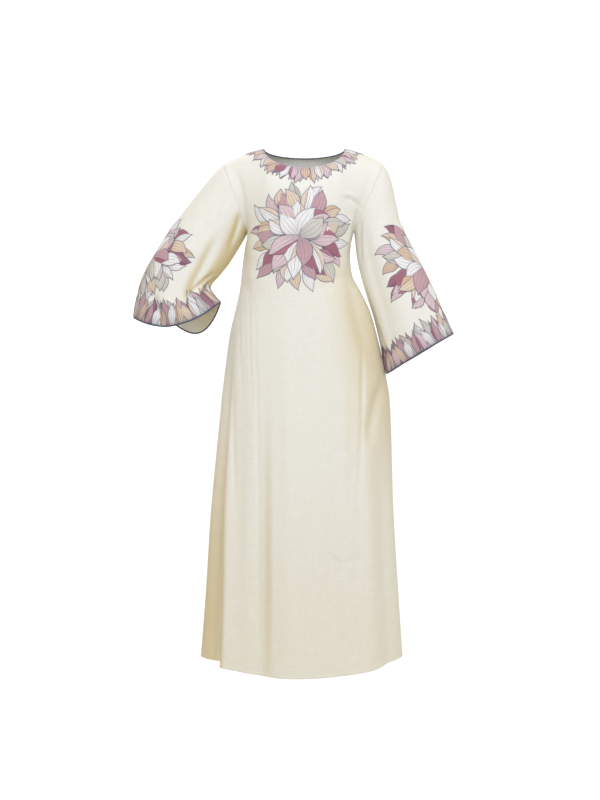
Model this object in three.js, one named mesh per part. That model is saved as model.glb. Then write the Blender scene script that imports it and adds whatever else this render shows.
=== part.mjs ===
// A long A-line kaftan with bell sleeves, in the hollow form it keeps when it is worn.
// The frame: +X to the wearer's left, the front faces -Y, +Z up, and the origin midway between
// the neck ends of the two shoulder seams. Side seams, shoulder seams, armpits and shoulder tips
// all lie in the plane Y = 0. Sizes are in millimetres.
import * as THREE from 'three';

// Rows of numbers under named columns.
function table(names, rows) {
  return rows.map((row) => Object.fromEntries(names.map((name, k) => [name, row[k]])));
}

// ---------------------------------------------------------------- driving dimensions
const WALL = 2;               // cloth wall
const SEAM = 0.3;             // gap between two pieces at a seam
const BINDING_WIDTH = 4;      // bias binding, along the cloth
const BINDING_PROUD = 0.2;    // binding, out from each face of the cloth
const BINDING_GAP = 0.4;      // binding to the cloth's edge

const NECK_HALF = 100;        // half width of the neck at the shoulder seams
const NECK_DROP_FRONT = 53;
const NECK_DROP_BACK = 16;
const NECK_DEPTH_FRONT = 76;  // how far the neck edge stands in front of the shoulder seams
const NECK_DEPTH_BACK = 66;
const SHOULDER_HUMP = 5;      // rise of the shoulder seam over its straight line

const HEM_DROP_FRONT = 36;    // the hem hangs lower at the centre front
const HEM_DROP_BACK = 14;
const SECTION_POWER = 2.3;    // roundness of the level sections, 2 is an ellipse
const CHEST_POWER = 2.1;      // roundness of the chest and shoulders, seen from the side

// Level sections of the body, from the armpits down to the hem at the side seams.
// xRight and xLeft are the side seams, front and back are depths from the seams' plane.
const SECTIONS = table(['z', 'xRight', 'xLeft', 'front', 'back'], [
  [-205, -140, 124, 124, 98],
  [-255, -150, 111, 130, 96],
  [-305, -156, 115, 132, 97],
  [-350, -161, 138, 133, 100],
  [-400, -172, 162, 135, 108],
  [-460, -186, 180, 138, 118],
  [-565, -200, 204, 142, 134],
  [-640, -207, 214, 146, 141],
  [-887, -226, 222, 157, 152],
  [-1075, -237, 232, 166, 160],
  [-1258, -252, 244, 174, 168],
]);

// Largest hanging folds. atTop and atHem are degrees round the body: 180 is the wearer's right
// side seam, 270 the centre front, 360 the left side seam and 90 the centre back. width is in
// degrees, depth is out from the body at the hem, begins and full are shares of the body's height.
const FOLDS = table(['atTop', 'atHem', 'width', 'depth', 'begins', 'full'], [
  [188, 194, 8, 11, 0.25, 0.8],
  [198, 212, 6, -24, 0.22, 0.7],
  [208, 223, 7, 15, 0.2, 0.7],
  [243, 248, 7, -12, 0.12, 0.75],
  [262, 264, 11, 8, 0.2, 0.9],
  [287, 285, 9, -6, 0.3, 0.9],
  [313, 309, 8, 10, 0.3, 0.7],
  [331, 327, 7, -9, 0.35, 0.85],
  [344, 345, 8, 8, 0.4, 0.9],
  [22, 20, 8, -15, 0.3, 0.8],
  [44, 41, 9, 13, 0.25, 0.8],
  [66, 63, 8, -13, 0.2, 0.8],
  [92, 90, 10, 12, 0.25, 0.85],
  [117, 119, 8, -15, 0.2, 0.8],
  [139, 143, 8, 13, 0.3, 0.8],
  [158, 162, 7, -11, 0.35, 0.85],
]);

// Sleeve sections, from the armhole to the cuff. Each is a ring through an outer point and an
// inner point in the plane Y = 0, with its depth to the front and back of them. forward moves
// the ring towards -Y, and the sags let its front and back halves hang lower. swing brings the
// back's lowest place towards the inner point.
const SLEEVE_SECTION = ['outerX', 'outerZ', 'innerX', 'innerZ', 'front', 'back', 'forward',
  'sagFront', 'sagBack', 'swing'];
const LEFT_SLEEVE = table(SLEEVE_SECTION, [
  [200, -37, 124, -205, 60, 56, 0, 0, 0, 0],
  [216, -78, 126, -226, 62, 58, 1, 0, 0, 0],
  [229, -137, 131, -272, 62, 60, 4, 0, 0, 0],
  [241, -187, 141, -318, 62, 60, 8, 0, 0, 0],
  [271, -252, 155, -366, 65, 63, 12, 0, 0, 0],
  [308, -325, 172, -420, 70, 68, 16, 0, 0, 0],
  [342, -398, 188, -487, 75, 74, 19, 0, 0, 0],
  [371, -460, 204, -560, 78, 78, 21, -4, 4, 0],
]);
const RIGHT_SLEEVE = table(SLEEVE_SECTION, [
  [-204, -37, -140, -205, 60, 56, 0, 0, 0, 0],
  [-238, -76, -150, -224, 62, 58, 0, 0, 0, 0],
  [-281, -129, -166, -251, 65, 62, 0, 0, 0, 0],
  [-326, -188, -186, -283, 67, 65, 2, 2, 2, 0],
  [-367, -254, -210, -314, 70, 69, 6, 8, 8, 0.4],
  [-402, -318, -232, -340, 74, 73, 12, 18, 18, 1],
  [-417, -372, -228, -358, 77, 76, 18, 29, 32, 1.5],
  [-425, -420, -207, -382, 79, 78, 24, 40, 44, 2],
]);

// Mesh steps
const SHOULDER_COLUMNS = 8;   // columns under each shoulder seam
const NECK_COLUMNS = 20;      // columns under the neck edge
const BODY_ROWS = 20;         // armpits to hem
const CHEST_ROWS = 11;        // armpits to shoulders
const SLEEVE_COLUMNS = 2 * CHEST_ROWS;
const SLEEVE_ROWS = 14;
const RELAX_PASSES = 7;

const CLOTH = { color: 0xf0ecdc, roughness: 0.85, metalness: 0 };
const BINDING = { color: 0x5b5c78, roughness: 0.7, metalness: 0 };

// ---------------------------------------------------------------- small helpers
const FRONT = -1;             // the front faces -Y
const BACK = 1;

const mix = (a, b, share) => a + (b - a) * share;
const smooth = (low, high, x) => THREE.MathUtils.smoothstep(x, low, high);

// One column of a table at a place between its rows, by a cubic through the rows.
// places are the rows' positions, which rise or fall steadily.
function column(rows, key, places, at) {
  const last = rows.length - 1;
  const rising = places[last] > places[0] ? 1 : -1;
  let i = 0;
  while (i < last - 1 && (at - places[i + 1]) * rising > 0) i += 1;
  const slope = (k) => {
    const low = Math.max(k - 1, 0);
    const high = Math.min(k + 1, last);
    return (rows[high][key] - rows[low][key]) / (places[high] - places[low]);
  };
  const span = places[i + 1] - places[i];
  const t = THREE.MathUtils.clamp((at - places[i]) / span, 0, 1);
  const start = (1 + 2 * t) * (1 - t) ** 2 * rows[i][key] + t * (1 - t) ** 2 * span * slope(i);
  const end = t * t * (3 - 2 * t) * rows[i + 1][key] + t * t * (t - 1) * span * slope(i + 1);
  return start + end;
}

// ---------------------------------------------------------------- sleeves
const ARMPIT = SECTIONS[0].z;
const HEM = SECTIONS[SECTIONS.length - 1].z;

// A point of a sleeve. along is 0 at the armhole and 1 at the cuff. angle is 0 at the outer
// point, 90 degrees at the front, 180 at the inner point.
function sleevePoint(sections, along, angle) {
  const places = sections.map((row, k) => k / (sections.length - 1));
  const get = (key) => column(sections, key, places, along);
  const across = Math.sin(angle);
  const share = (1 + Math.cos(angle)) / 2;
  const depth = across > 0 ? -get('front') : -get('back');
  const sag = across > 0 ? get('sagFront') : get('sagBack') * (1 - get('swing') * Math.cos(angle));
  return new THREE.Vector3(
    mix(get('innerX'), get('outerX'), share),
    depth * across - get('forward'),
    mix(get('innerZ'), get('outerZ'), share) - sag * across * across,
  );
}

// Unit normal of the plane in which a sleeve meets the body, pointing into the sleeve.
function armholeNormal(sections) {
  const { outerX, outerZ, innerX, innerZ } = sections[0];
  const normal = new THREE.Vector3(outerZ - innerZ, 0, innerX - outerX).normalize();
  return normal.multiplyScalar(Math.sign(outerX) * Math.sign(normal.x));
}

// ---------------------------------------------------------------- front and back
const COLUMNS = 2 * SHOULDER_COLUMNS + NECK_COLUMNS;

// How far the hanging folds move the cloth out, at an angle round the body and a share of its height.
function foldDepth(degrees, down) {
  let total = 0;
  for (const fold of FOLDS) {
    const centre = mix(fold.atTop, fold.atHem, down);
    const away = ((degrees - centre + 540) % 360) - 180;
    total += fold.depth * Math.exp(-((away / fold.width) ** 2)) * smooth(fold.begins, fold.full, down);
  }
  return total;
}

// A point of the body below the armpits. u runs from the right side seam to the left one,
// down from the armpits to the hem.
function bodyPoint(side, u, down) {
  const level = mix(ARMPIT, HEM, down);
  const places = SECTIONS.map((row) => row.z);
  const get = (key) => column(SECTIONS, key, places, level);
  const angle = Math.PI * u;
  const cosine = Math.cos(angle);
  const sine = Math.sin(angle);
  const round = (value) => Math.sign(value) * Math.abs(value) ** (2 / SECTION_POWER);
  const halfWidth = (get('xLeft') - get('xRight')) / 2;
  const depth = side === FRONT ? get('front') : get('back');
  const degrees = side === FRONT ? 180 + 180 * u : 180 - 180 * u;
  const onSeam = Math.min(1, 6 * Math.min(u, 1 - u));
  const fold = foldDepth(degrees, down);
  const drop = (side === FRONT ? HEM_DROP_FRONT : HEM_DROP_BACK) * sine ** 2 * down ** 2;
  return new THREE.Vector3(
    (get('xLeft') + get('xRight')) / 2 - round(cosine) * halfWidth - fold * cosine,
    side * (round(sine) * depth + fold * sine * onSeam),
    level - drop,
  );
}

// A point of the top edge: shoulder seam, neck edge, shoulder seam.
function topPoint(side, u) {
  const shoulder = SHOULDER_COLUMNS / COLUMNS;
  if (u < shoulder || u > 1 - shoulder) {
    const sleeve = u < shoulder ? RIGHT_SLEEVE : LEFT_SLEEVE;
    const share = Math.min(u, 1 - u) / shoulder;
    return new THREE.Vector3(
      mix(sleeve[0].outerX, Math.sign(sleeve[0].outerX) * NECK_HALF, share),
      0,
      mix(sleeve[0].outerZ, 0, share) + SHOULDER_HUMP * Math.sin(Math.PI * share),
    );
  }
  const angle = (Math.PI * (u - shoulder)) / (1 - 2 * shoulder);
  const front = side === FRONT;
  return new THREE.Vector3(
    -NECK_HALF * Math.cos(angle),
    side * (front ? NECK_DEPTH_FRONT : NECK_DEPTH_BACK) * Math.sin(angle),
    -(front ? NECK_DROP_FRONT : NECK_DROP_BACK) * Math.sin(angle),
  );
}

// A point of the chest or upper back. up runs from the armpits to the top edge. Each row starts
// and ends on the armholes and bulges to the centre, and the bulge dies away over the shoulders.
function chestPoint(side, u, up) {
  const low = bodyPoint(side, u, 0);
  const high = topPoint(side, u);
  const edge = u < 0.5 ? 0 : 1;
  const hole = sleevePoint(edge === 0 ? RIGHT_SLEEVE : LEFT_SLEEVE, 0, side * Math.PI * (up - 1));
  const quarter = (up * Math.PI) / 2;
  const level = Math.sin(quarter) ** (2 / CHEST_POWER);
  const bulge = up < 1 ? Math.cos(quarter) ** (2 / CHEST_POWER) : 0;
  const fromEdge = Math.abs(u - edge);
  const inside = smooth(0, 0.3, fromEdge);
  const rise = mix((1 - Math.cos(Math.PI * up)) / 2, level, inside);
  const lowShare = low.y / bodyPoint(side, 0.5, 0).y;
  const highShare = high.y / topPoint(side, 0.5).y;
  const centre = mix(topPoint(side, 0.5).y, bodyPoint(side, 0.5, 0).y, bulge);
  const lean = mix(low.x, high.x, mix(rise, rise ** 1.6, inside));
  return new THREE.Vector3(
    lean,
    mix(hole.y, centre, mix(highShare, lowShare, bulge)),
    mix(low.z, high.z, rise),
  );
}

// Evens out the cloth between its edges, from just below the armpits to just below the top edge.
function relax(rows) {
  for (let pass = 0; pass < RELAX_PASSES; pass += 1) {
    const before = rows.map((points) => points.map((point) => point.clone()));
    for (let row = BODY_ROWS - 2; row < rows.length - 1; row += 1) {
      for (let k = 1; k < COLUMNS; k += 1) {
        const around = new THREE.Vector3()
          .add(before[row][k - 1]).add(before[row][k + 1])
          .add(before[row - 1][k]).add(before[row + 1][k]);
        rows[row][k].lerp(around.multiplyScalar(0.25), 0.5);
      }
    }
  }
}

// Rows from the hem up to the top edge, as points of the outer face.
function panelGrid(side) {
  const rows = [];
  for (let row = 0; row <= BODY_ROWS + CHEST_ROWS; row += 1) {
    const points = [];
    for (let k = 0; k <= COLUMNS; k += 1) {
      const u = k / COLUMNS;
      points.push(row < BODY_ROWS
        ? bodyPoint(side, u, 1 - row / BODY_ROWS)
        : chestPoint(side, u, (row - BODY_ROWS) / CHEST_ROWS));
    }
    rows.push(points);
  }
  relax(rows);
  return rows;
}

// Outward unit normals of a grid of points, from its neighbours along and across.
function gridNormals(grid, closed, outward) {
  const lastRow = grid.length - 1;
  const count = grid[0].length;
  return grid.map((points, row) => points.map((point, k) => {
    const before = closed ? (k + count - 1) % count : Math.max(k - 1, 0);
    const after = closed ? (k + 1) % count : Math.min(k + 1, count - 1);
    const across = points[after].clone().sub(points[before]);
    const along = grid[Math.min(row + 1, lastRow)][k].clone().sub(grid[Math.max(row - 1, 0)][k]);
    return across.cross(along).normalize().multiplyScalar(outward);
  }));
}

// Keeps a wall's edge on its own side of the seam plane.
function flatten(normal, plane) {
  return normal.addScaledVector(plane, -normal.dot(plane)).normalize();
}

// Front or back: its grid, and the normals that give its wall. Armhole edges stay on the body's
// side of the armhole's plane.
function makePanel(side) {
  const grid = panelGrid(side);
  const normals = gridNormals(grid, false, side === FRONT ? 1 : -1);
  const holes = [armholeNormal(RIGHT_SLEEVE), armholeNormal(LEFT_SLEEVE)];
  grid.forEach((points, row) => {
    [0, COLUMNS].forEach((k, edge) => {
      const over = row > BODY_ROWS + CHEST_ROWS / 2;
      if (row > BODY_ROWS && (over || normals[row][k].dot(holes[edge]) < 0)) {
        flatten(normals[row][k], holes[edge]);
      }
      if (row >= BODY_ROWS) points[k].addScaledVector(holes[edge], -SEAM / 2);
    });
  });
  for (const points of grid) {
    for (const point of points) point.y += (side * SEAM) / 2;
  }
  return { grid, normals };
}

// Front and back share their normals along the side and shoulder seams, so the walls meet squarely.
function matchSeams(front, back) {
  const seamPlane = new THREE.Vector3(0, 1, 0);
  front.normals.forEach((normals, row) => normals.forEach((normal, k) => {
    const sideSeam = row <= BODY_ROWS && (k === 0 || k === COLUMNS);
    const fromEnd = Math.min(k, COLUMNS - k);
    const shoulderSeam = row === BODY_ROWS + CHEST_ROWS && fromEnd <= SHOULDER_COLUMNS;
    if (sideSeam || shoulderSeam) {
      flatten(normal.add(back.normals[row][k]), seamPlane);
      back.normals[row][k].copy(normal);
    }
  }));
}

// A sleeve: its grid of rings, and the normals that give its wall.
function makeSleeve(sections) {
  const grid = [];
  for (let row = 0; row <= SLEEVE_ROWS; row += 1) {
    const ring = [];
    for (let k = 0; k < SLEEVE_COLUMNS; k += 1) {
      ring.push(sleevePoint(sections, row / SLEEVE_ROWS, (2 * Math.PI * k) / SLEEVE_COLUMNS));
    }
    grid.push(ring);
  }
  const hole = armholeNormal(sections);
  const normals = gridNormals(grid, true, Math.sign(sections[0].outerX));
  normals[0].forEach((normal) => flatten(normal, hole));
  grid[0].forEach((point) => point.addScaledVector(hole, SEAM / 2));
  return { grid, normals };
}

// ---------------------------------------------------------------- closed bodies
// A wall from rows of outer and inner points. closed joins each row's ends into a ring, and
// flip turns the faces round.
function wallGeometry(outer, inner, { closed = false, flip = false }) {
  const rows = outer.length;
  const count = outer[0].length;
  const positions = [...outer.flat(), ...inner.flat()].flatMap((p) => [p.x, p.y, p.z]);
  const index = [];
  const at = (face, row, k) => face * rows * count + row * count + (k % count);
  const quad = (a, b, c, d) => {
    if (flip) index.push(a, c, b, a, d, c);
    else index.push(a, b, c, a, c, d);
  };
  const lastRow = rows - 1;
  const lastColumn = closed ? count : count - 1;
  for (let row = 0; row < lastRow; row += 1) {
    for (let k = 0; k < lastColumn; k += 1) {
      quad(at(0, row, k), at(0, row, k + 1), at(0, row + 1, k + 1), at(0, row + 1, k));
      quad(at(1, row, k), at(1, row + 1, k), at(1, row + 1, k + 1), at(1, row, k + 1));
    }
    if (!closed) {
      const end = lastColumn;
      quad(at(0, row, 0), at(0, row + 1, 0), at(1, row + 1, 0), at(1, row, 0));
      quad(at(0, row, end), at(1, row, end), at(1, row + 1, end), at(0, row + 1, end));
    }
  }
  for (let k = 0; k < lastColumn; k += 1) {
    quad(at(0, 0, k), at(1, 0, k), at(1, 0, k + 1), at(0, 0, k + 1));
    quad(at(0, lastRow, k), at(0, lastRow, k + 1), at(1, lastRow, k + 1), at(1, lastRow, k));
  }
  const geometry = new THREE.BufferGeometry();
  geometry.setAttribute('position', new THREE.Float32BufferAttribute(positions, 3));
  geometry.setIndex(index);
  geometry.computeVertexNormals();
  return geometry;
}

const moved = (grid, normals, distance) => grid.map((points, row) => (
  points.map((point, k) => point.clone().addScaledVector(normals[row][k], distance))
));

function clothWall({ grid, normals }, options) {
  return wallGeometry(grid, moved(grid, normals, -WALL), options);
}

// A binding: a closed strip that carries on from an edge. edge holds the edge's points in
// order round the opening, normals point out of the cloth and away points off its edge.
function bindingGeometry(edge, normals, away, flip) {
  const strip = (reach, out) => edge.map((point, k) => (
    point.clone().addScaledVector(away[k], reach).addScaledVector(normals[k], out)
  ));
  const far = BINDING_GAP + BINDING_WIDTH;
  const outer = [strip(BINDING_GAP, BINDING_PROUD), strip(far, BINDING_PROUD)];
  const inner = [strip(BINDING_GAP, -WALL - BINDING_PROUD), strip(far, -WALL - BINDING_PROUD)];
  return wallGeometry(outer, inner, { closed: true, flip });
}

// Directions off a closed edge, square to it and to the cloth's normals.
function awayFromEdge(edge, normals, turn) {
  const count = edge.length;
  return edge.map((point, k) => {
    const tangent = edge[(k + 1) % count].clone().sub(edge[(k + count - 1) % count]);
    return tangent.cross(normals[k]).normalize().multiplyScalar(turn);
  });
}

// ---------------------------------------------------------------- the garment
function piece(name, geometry, finish) {
  const mesh = new THREE.Mesh(geometry, new THREE.MeshStandardMaterial(finish));
  mesh.name = name;
  return mesh;
}

// The neck edge as one loop: along the front from right to left, then back along the back.
function neckBinding(front, back) {
  const take = (panel, key) => {
    const row = panel[key][panel[key].length - 1];
    return row.slice(SHOULDER_COLUMNS, COLUMNS - SHOULDER_COLUMNS + 1);
  };
  const edge = [...take(front, 'grid'), ...take(back, 'grid').reverse().slice(1, -1)];
  const normals = [...take(front, 'normals'), ...take(back, 'normals').reverse().slice(1, -1)];
  return bindingGeometry(edge, normals, awayFromEdge(edge, normals, -1), false);
}

function cuffBinding(sleeve, side) {
  const edge = sleeve.grid[SLEEVE_ROWS];
  const normals = sleeve.normals[SLEEVE_ROWS];
  return bindingGeometry(edge, normals, awayFromEdge(edge, normals, -side), side < 0);
}

const front = makePanel(FRONT);
const back = makePanel(BACK);
matchSeams(front, back);
const sleeveRight = makeSleeve(RIGHT_SLEEVE);
const sleeveLeft = makeSleeve(LEFT_SLEEVE);

const group = new THREE.Group();
group.add(
  piece('front', clothWall(front, {}), CLOTH),
  piece('back', clothWall(back, { flip: true }), CLOTH),
  piece('sleeve_right', clothWall(sleeveRight, { closed: true, flip: true }), CLOTH),
  piece('sleeve_left', clothWall(sleeveLeft, { closed: true }), CLOTH),
  piece('neck_binding', neckBinding(front, back), BINDING),
  piece('cuff_binding_right', cuffBinding(sleeveRight, -1), BINDING),
  piece('cuff_binding_left', cuffBinding(sleeveLeft, 1), BINDING),
);

export default group;
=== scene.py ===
"""A long A-line kaftan with bell sleeves, dressed round its solids.

The cloth pieces are thin shells on the solids' form, worked out from the same named sizes.
Sizes in the tables are millimetres; MM brings them to metres.
"""

import math
import random

import bmesh
import bpy
import numpy as np
from mathutils import Matrix, Vector
from mathutils.bvhtree import BVHTree


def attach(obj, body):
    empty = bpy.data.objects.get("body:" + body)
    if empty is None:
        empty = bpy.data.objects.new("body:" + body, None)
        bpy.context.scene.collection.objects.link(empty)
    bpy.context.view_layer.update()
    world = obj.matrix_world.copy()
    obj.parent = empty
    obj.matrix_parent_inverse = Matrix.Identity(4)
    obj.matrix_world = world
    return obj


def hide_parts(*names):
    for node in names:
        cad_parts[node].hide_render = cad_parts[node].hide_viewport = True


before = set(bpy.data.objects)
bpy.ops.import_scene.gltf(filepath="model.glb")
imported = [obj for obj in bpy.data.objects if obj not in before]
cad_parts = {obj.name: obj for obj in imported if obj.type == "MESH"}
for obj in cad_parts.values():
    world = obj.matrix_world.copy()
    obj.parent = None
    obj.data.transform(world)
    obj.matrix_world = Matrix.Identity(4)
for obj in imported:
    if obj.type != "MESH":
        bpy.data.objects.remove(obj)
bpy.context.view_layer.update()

MM = 0.001
FRONT, BACK = -1, 1
BODY = "root"

# ------------------------------------------------------------------ sizes of the cut and its form
NECK_HALF = 100
NECK_DROP = {FRONT: 53, BACK: 16}
NECK_DEPTH = {FRONT: 76, BACK: 66}
SHOULDER_HUMP = 5
HEM_DROP = {FRONT: 36, BACK: 14}
SECTION_POWER = 2.3
CHEST_POWER = 2.1
SHOULDER_SHARE = 8 / 36          # of a panel's width, under each shoulder seam
CLOTH_THICK = 0.7
HEM_TURN = 9                     # height of the turned hem's stitch line
HEM_TURN_PROUD = 0.4
HEM_PUCKERS, PUCKER_DEPTH = 61, 0.28
STITCH_DIP, STITCH_DIP_WIDTH = 0.35, 3.2
SLEEVE_LENGTH, SLEEVE_GIRTH = 430, 490    # along which the sleeve creases are laid out
SLEEVE_CREASE_BOW = 4
FLOOR = -1.60                    # metres

# flat sizes of the cut, metres, and square metres
FRONT_CUT, FRONT_AREA = (0.74, 1.30), 0.73
BACK_CUT, BACK_AREA = (0.72, 1.30), 0.69
LEFT_CUT, LEFT_AREA = (0.60, 0.46), 0.19
RIGHT_CUT, RIGHT_AREA = (0.60, 0.46), 0.19

# level sections of the body: height, right side seam, left side seam, front depth, back depth
SECTIONS = np.array([
    [-205, -140, 124, 124, 98],
    [-255, -150, 111, 130, 96],
    [-305, -156, 115, 132, 97],
    [-350, -161, 138, 133, 100],
    [-400, -172, 162, 135, 108],
    [-460, -186, 180, 138, 118],
    [-565, -200, 204, 142, 134],
    [-640, -207, 214, 146, 141],
    [-887, -226, 222, 157, 152],
    [-1075, -237, 232, 166, 160],
    [-1258, -252, 244, 174, 168],
], float)
ARMPIT, HEM = SECTIONS[0, 0], SECTIONS[-1, 0]

# largest hanging folds: degrees round the body at the armpits and at the hem, width in degrees,
# depth out at the hem, and the shares of the body's height where the fold begins and is full
FOLDS = [
    (188, 194, 8, 11, 0.25, 0.8),
    (198, 212, 6, -24, 0.22, 0.7),
    (208, 223, 7, 15, 0.2, 0.7),
    (243, 248, 7, -8, 0.12, 0.75),
    (262, 264, 11, 7, 0.2, 0.9),
    (287, 285, 9, -5, 0.3, 0.9),
    (313, 309, 8, 7, 0.3, 0.7),
    (331, 327, 7, -5, 0.35, 0.85),
    (344, 345, 8, 5, 0.4, 0.9),
    (22, 20, 8, -15, 0.3, 0.8),
    (44, 41, 9, 13, 0.25, 0.8),
    (66, 63, 8, -13, 0.2, 0.8),
    (92, 90, 10, 12, 0.25, 0.85),
    (117, 119, 8, -15, 0.2, 0.8),
    (139, 143, 8, 13, 0.3, 0.8),
    (158, 162, 7, -11, 0.35, 0.85),
]

# sleeve rings: outer point x z, inner point x z, front and back depth, forward, sags, swing
LEFT_SLEEVE = np.array([
    [200, -37, 124, -205, 60, 56, 0, 0, 0, 0],
    [216, -78, 126, -226, 62, 58, 1, 0, 0, 0],
    [229, -137, 131, -272, 62, 60, 4, 0, 0, 0],
    [241, -187, 141, -318, 62, 60, 8, 0, 0, 0],
    [271, -252, 155, -366, 65, 63, 12, 0, 0, 0],
    [308, -325, 172, -420, 70, 68, 16, 0, 0, 0],
    [342, -398, 188, -487, 75, 74, 19, 0, 0, 0],
    [371, -460, 204, -560, 78, 78, 21, -4, 4, 0],
], float)
RIGHT_SLEEVE = np.array([
    [-204, -37, -140, -205, 60, 56, 0, 0, 0, 0],
    [-238, -76, -150, -224, 62, 58, 0, 0, 0, 0],
    [-281, -129, -166, -251, 65, 62, 0, 0, 0, 0],
    [-326, -188, -186, -283, 67, 65, 2, 2, 2, 0],
    [-367, -254, -210, -314, 70, 69, 6, 8, 8, 0.4],
    [-402, -318, -232, -340, 74, 73, 12, 18, 18, 1],
    [-417, -372, -228, -358, 77, 76, 18, 29, 32, 1.5],
    [-425, -420, -207, -382, 79, 78, 24, 40, 44, 2],
], float)

# mesh steps of the cloth; the hem's rows are given by their height
PANEL_COLUMNS = 180
HEM_ROWS = [0, 1.5, 4, 7, 8.4, HEM_TURN, 9.8, 11.5, 15, 20]
HEM_LINE_ROW = HEM_ROWS.index(HEM_TURN)
ABOVE_HEM_ROWS = 27
BODY_ROWS = 150
CHEST_ROWS = 60
SLEEVE_ROWS = 96
SLEEVE_COLUMNS = 2 * CHEST_ROWS
RELAX_PASSES = 170
ARMHOLE_PASSES, ARMHOLE_REACH = 60, 12

# soft creases on the panels: side, x and height of each end, width, depth out, sideways bow
PANEL_CREASES = [
    (FRONT, 92, -128, 140, -152, 6, -4, -6),        # round the bust under the left arm
    (FRONT, 96, -120, 132, -136, 7, 3, -6),
    (FRONT, 136, -150, 118, -300, 7, -7, 8),
    (FRONT, 120, -168, 106, -250, 9, 4, 4),
    (FRONT, 108, -262, 160, -520, 16, -6, 9),       # down the left side of the waist
    (FRONT, -172, -60, -150, -190, 9, -3.5, -8),    # from the right shoulder to the armpit
    (FRONT, 172, -60, 148, -180, 11, -2.5, 6),
    (FRONT, -142, -240, -136, -380, 10, -3, 8),     # down from the right armpit
    (FRONT, -160, -410, -150, -610, 3.4, -1.1, 3),  # small pleats at the right hip
    (FRONT, -147, -380, -143, -520, 3, -0.9, 1),
    (FRONT, -136, -350, -125, -660, 3.6, -1.2, 3),
    (FRONT, -121, -400, -117, -560, 3.4, -0.7, 1),
    (FRONT, -118, -520, -112, -1262, 5, -2.2, -3),
    (FRONT, -176, -560, -170, -860, 6, -3, 2),
    (FRONT, -84, -600, -80, -1262, 12, 2.2, -3),    # down the middle of the skirt
    (FRONT, -46, -420, -40, -1262, 14, 2, -3),
    (FRONT, -8, -800, -3, -1262, 9, -2.6, 4),
    (FRONT, 28, -880, 33, -1262, 10, 2, 2),
    (FRONT, 60, -920, 66, -1262, 9, -2.6, 2),
    (FRONT, 198, -566, 156, -740, 14, -7, 6),       # hollow under the left cuff
    (FRONT, 142, -500, 128, -900, 6, -2.6, -4),
    (FRONT, 128, -860, 126, -1262, 5, -2.8, 2),
    (FRONT, 96, -620, 98, -1240, 14, 2.2, 4),
    (FRONT, 64, -999, 102, -1019, 4.2, -2.2, 3),    # drag lines at the knee
    (FRONT, 92, -1022, 144, -1005, 4.2, -2.2, -3),
    (FRONT, 60, -984, 90, -1008, 4.2, 1.6, 2),
    (FRONT, 70, -1040, 120, -1032, 4.2, -1.4, -2),
    (FRONT, -150, -270, -60, -330, 14, -2, 12),     # slack at the waist
    (FRONT, 20, -350, 96, -310, 13, -2, 10),
    (BACK, -168, -70, -128, -215, 12, -5, -8),
    (BACK, 166, -70, 118, -215, 12, -5, 8),
    (BACK, -60, -250, -72, -640, 18, -5, 8),
    (BACK, 52, -240, 66, -620, 18, -5, -8),
    (BACK, 0, -300, 6, -760, 22, 4, 6),
    (BACK, -120, -420, -100, -470, 12, -2.5, 6),
    (BACK, -130, -520, -150, -1262, 8, -3.5, 6),
    (BACK, -34, -640, -40, -1262, 8, -3.5, -5),
    (BACK, 96, -600, 104, -1262, 8, -3.5, 5),
    (BACK, 30, -980, 110, -1006, 6, -2, 6),
    (BACK, -110, -1040, -40, -1022, 6, -2, 6),
]

# soft creases on the sleeves: share along and degrees round of each end, width, depth out
SLEEVE_CREASES = {
    "left": [
        (0.02, 128, 0.36, 150, 11, -3.5),
        (0.0, 62, 0.3, 78, 13, -2.5),
        (0.18, 118, 0.98, 132, 15, -3.5),
        (0.3, 92, 0.98, 98, 16, 3),
        (0.76, 160, 1.02, 148, 8, -5),
        (0.36, 52, 0.98, 58, 15, -2.5),
        (0.5, 20, 0.99, 24, 16, 3),
        (0.12, 205, 0.9, 222, 14, -5),
        (0.3, 262, 0.98, 268, 15, -5),
        (0.4, 305, 0.98, 312, 16, 4),
        (0.5, 165, 0.97, 168, 11, -4),
    ],
    "right": [
        (0.0, 118, 0.34, 142, 11, -5),
        (0.04, 66, 0.4, 88, 15, -3),
        (0.3, 108, 0.97, 122, 14, -6),
        (0.4, 72, 0.98, 78, 16, 4),
        (0.42, 36, 0.98, 42, 15, -4),
        (0.78, 55, 1.04, 80, 9, -9),
        (0.8, 84, 1.04, 102, 12, 5),
        (0.56, 146, 0.8, 118, 11, -5),
        (0.6, 162, 0.86, 136, 10, -4),
        (0.12, 214, 0.9, 232, 14, -5),
        (0.34, 270, 0.98, 276, 15, -5),
        (0.4, 318, 0.98, 322, 16, 4),
        (0.55, 200, 0.85, 216, 10, -5),
    ],
}


# ------------------------------------------------------------------ the form, in millimetres
def mix(a, b, share):
    return a + (b - a) * share


def smooth(low, high, x):
    t = np.clip((np.asarray(x, float) - low) / (high - low), 0, 1)
    return t * t * (3 - 2 * t)


def through(rows, places, at):
    """All columns of a table at places between its rows, by a cubic through the rows."""
    places, at = np.asarray(places, float), np.asarray(at, float)
    turn = 1 if places[-1] > places[0] else -1
    last = len(rows) - 1
    i = np.clip(np.searchsorted(places * turn, at * turn) - 1, 0, last - 1)
    index = np.arange(last + 1)
    low, high = np.maximum(index - 1, 0), np.minimum(index + 1, last)
    slope = (rows[high] - rows[low]) / (places[high] - places[low])[:, None]
    span = (places[i + 1] - places[i])[..., None]
    t = np.clip((at - places[i]) / span[..., 0], 0, 1)[..., None]
    start = (1 + 2 * t) * (1 - t) ** 2 * rows[i] + t * (1 - t) ** 2 * span * slope[i]
    end = t * t * (3 - 2 * t) * rows[i + 1] + t * t * (t - 1) * span * slope[i + 1]
    return start + end


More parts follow.
